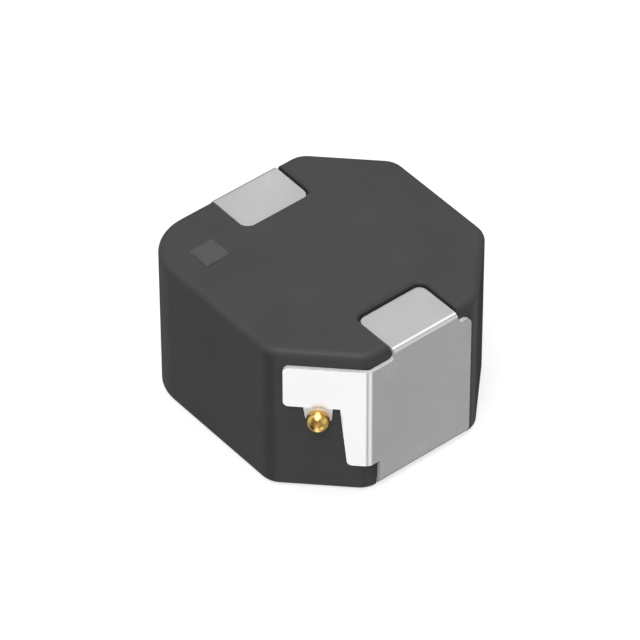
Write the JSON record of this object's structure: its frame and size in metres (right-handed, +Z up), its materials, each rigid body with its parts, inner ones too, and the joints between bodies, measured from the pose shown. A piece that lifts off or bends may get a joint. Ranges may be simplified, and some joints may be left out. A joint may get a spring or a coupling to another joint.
{
  "type": "shielded smd inductor",
  "caption": "Shielded surface-mount power inductor: a wound ferrite drum in a square ferrite cup with cut corners, gripped by folded tinned clips that end in solder feet.",
  "frame": {"origin": "middle of the footprint, level with the solder faces of the clips", "axes": "+X towards the clip where the wire starts, +Y along the sides that have no clip, +Z up from the board"},
  "size_m": [0.0124, 0.012, 0.0078],
  "materials": {
    "ferrite": "matt",
    "adhesive": "satin",
    "enamelled_copper": "gloss",
    "tinned_sheet": "satin",
    "weld": "gloss",
    "ink": "matt"
  },
  "bodies": {
    "root": {"shield_core": "ferrite", "drum_core": "ferrite", "core_adhesive": "adhesive", "coil_winding": "enamelled_copper", "terminal_start": "tinned_sheet", "terminal_finish": "tinned_sheet", "weld_bead_start": "weld", "weld_bead_finish": "weld", "polarity_mark": "ink"}
  },
  "joints": []
}
